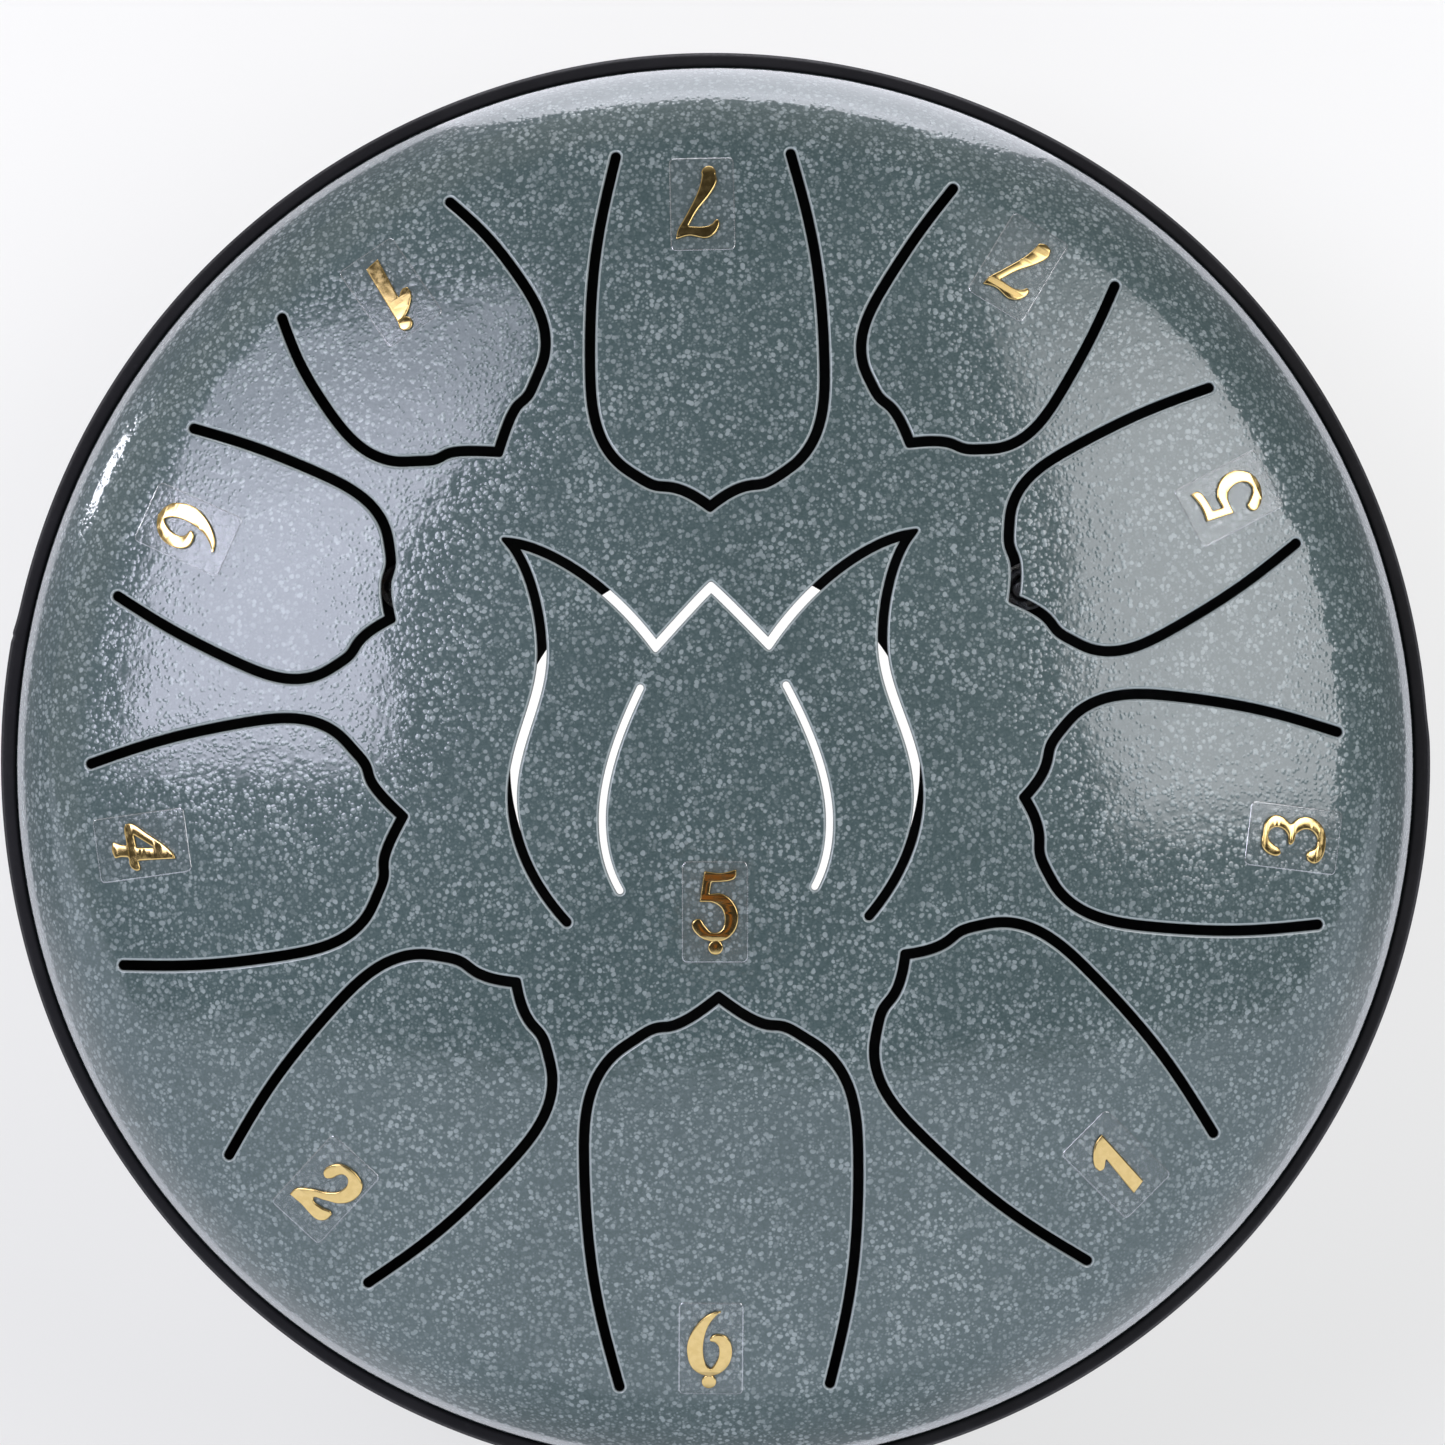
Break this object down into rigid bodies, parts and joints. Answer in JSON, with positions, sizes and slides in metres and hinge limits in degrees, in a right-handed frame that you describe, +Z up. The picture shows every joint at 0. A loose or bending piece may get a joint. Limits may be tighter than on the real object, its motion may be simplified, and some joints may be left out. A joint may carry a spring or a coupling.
{
  "type": "steel tongue drum",
  "caption": "Round painted steel drum with pointed tongues cut in its crown, a lotus tongue in the middle, gold numerals, a rubber rim and rubber feet; struck with mallets or fingers.",
  "frame": {"origin": "middle of the resting plane, under the drum's axis", "axes": "+Z up along the drum's axis, -Y towards the longest outer tongue, marked 6 with a low dot, +X to the right when the numeral in the middle stands upright"},
  "size_m": [0.255, 0.255, 0.1203],
  "materials": {
    "paint": "glossy dark teal-grey hammer-tone paint with pale speckles and orange peel",
    "rubber": "matt black",
    "gold_foil": "mirror-bright raised gold foil",
    "clear_film": "clear glossy film",
    "zinc_steel": "bright zinc plate"
  },
  "bodies": {
    "drum": {"top_shell": "paint", "bottom_shell": "paint", "rim_ring": "rubber", "film_low_5": "clear_film", "numeral_low_5": "gold_foil", "foot_1": "rubber", "foot_screw_1": "zinc_steel", "foot_washer_1": "zinc_steel", "foot_nut_1": "zinc_steel", "foot_2": "rubber", "foot_screw_2": "zinc_steel", "foot_washer_2": "zinc_steel", "foot_nut_2": "zinc_steel", "foot_3": "rubber", "foot_screw_3": "zinc_steel", "foot_washer_3": "zinc_steel", "foot_nut_3": "zinc_steel"},
    "tongue_low_7": {"tongue_low_7": "paint", "film_low_7": "clear_film", "numeral_low_7": "gold_foil"},
    "tongue_7": {"tongue_7": "paint", "film_7": "clear_film", "numeral_7": "gold_foil"},
    "tongue_5": {"tongue_5": "paint", "film_5": "clear_film", "numeral_5": "gold_foil"},
    "tongue_3": {"tongue_3": "paint", "film_3": "clear_film", "numeral_3": "gold_foil"},
    "tongue_1": {"tongue_1": "paint", "film_1": "clear_film", "numeral_1": "gold_foil"},
    "tongue_low_6": {"tongue_low_6": "paint", "film_low_6": "clear_film", "numeral_low_6": "gold_foil"},
    "tongue_2": {"tongue_2": "paint", "film_2": "clear_film", "numeral_2": "gold_foil"},
    "tongue_4": {"tongue_4": "paint", "film_4": "clear_film", "numeral_4": "gold_foil"},
    "tongue_6": {"tongue_6": "paint", "film_6": "clear_film", "numeral_6": "gold_foil"},
    "tongue_high_1": {"tongue_high_1": "paint", "film_high_1": "clear_film", "numeral_high_1": "gold_foil"},
    "tongue_low_5": {"tongue_low_5": "paint"}
  },
  "joints": [
    {"name": "tongue_low_7_flex", "type": "hinge", "parent": "drum", "child": "tongue_low_7", "pos_m": [-0.002, 0.10408, 0.10184], "axis": [-0.9998, -0.0192, 0], "range_deg": [-0.4, 0.4], "stiffness_Nm_per_rad": 4},
    {"name": "tongue_7_flex", "type": "hinge", "parent": "drum", "child": "tongue_7", "pos_m": [0.05439, 0.09016, 0.10143], "axis": [-0.8563, 0.5165, 0], "range_deg": [-0.4, 0.4], "stiffness_Nm_per_rad": 4},
    {"name": "tongue_5_flex", "type": "hinge", "parent": "drum", "child": "tongue_5", "pos_m": [0.09166, 0.05122, 0.10153], "axis": [-0.4879, 0.8729, 0], "range_deg": [-0.4, 0.4], "stiffness_Nm_per_rad": 4},
    {"name": "tongue_3_flex", "type": "hinge", "parent": "drum", "child": "tongue_3", "pos_m": [0.10446, -0.01061, 0.10153], "axis": [0.1011, 0.9949, 0], "range_deg": [-0.4, 0.4], "stiffness_Nm_per_rad": 4},
    {"name": "tongue_1_flex", "type": "hinge", "parent": "drum", "child": "tongue_1", "pos_m": [0.07421, -0.07343, 0.10174], "axis": [0.7034, 0.7108, 0], "range_deg": [-0.4, 0.4], "stiffness_Nm_per_rad": 4},
    {"name": "tongue_low_6_flex", "type": "hinge", "parent": "drum", "child": "tongue_low_6", "pos_m": [0.00166, -0.10559, 0.10132], "axis": [0.9999, 0.0157, 0], "range_deg": [-0.4, 0.4], "stiffness_Nm_per_rad": 4},
    {"name": "tongue_2_flex", "type": "hinge", "parent": "drum", "child": "tongue_2", "pos_m": [-0.071, -0.07722, 0.10157], "axis": [0.7361, -0.6769, 0], "range_deg": [-0.4, 0.4], "stiffness_Nm_per_rad": 4},
    {"name": "tongue_4_flex", "type": "hinge", "parent": "drum", "child": "tongue_4", "pos_m": [-0.10365, -0.01679, 0.10153], "axis": [0.1599, -0.9871, 0], "range_deg": [-0.4, 0.4], "stiffness_Nm_per_rad": 4},
    {"name": "tongue_6_flex", "type": "hinge", "parent": "drum", "child": "tongue_6", "pos_m": [-0.09535, 0.04325, 0.10164], "axis": [-0.4131, -0.9107, 0], "range_deg": [-0.4, 0.4], "stiffness_Nm_per_rad": 4},
    {"name": "tongue_high_1_flex", "type": "hinge", "parent": "drum", "child": "tongue_high_1", "pos_m": [-0.05951, 0.08626, 0.1016], "axis": [-0.8231, -0.5678, 0], "range_deg": [-0.4, 0.4], "stiffness_Nm_per_rad": 4},
    {"name": "tongue_low_5_flex", "type": "hinge", "parent": "drum", "child": "tongue_low_5", "pos_m": [0.0005, -0.0256, 0.11822], "axis": [0.9998, 0.0209, 0], "range_deg": [-0.4, 0.4], "stiffness_Nm_per_rad": 4}
  ]
}
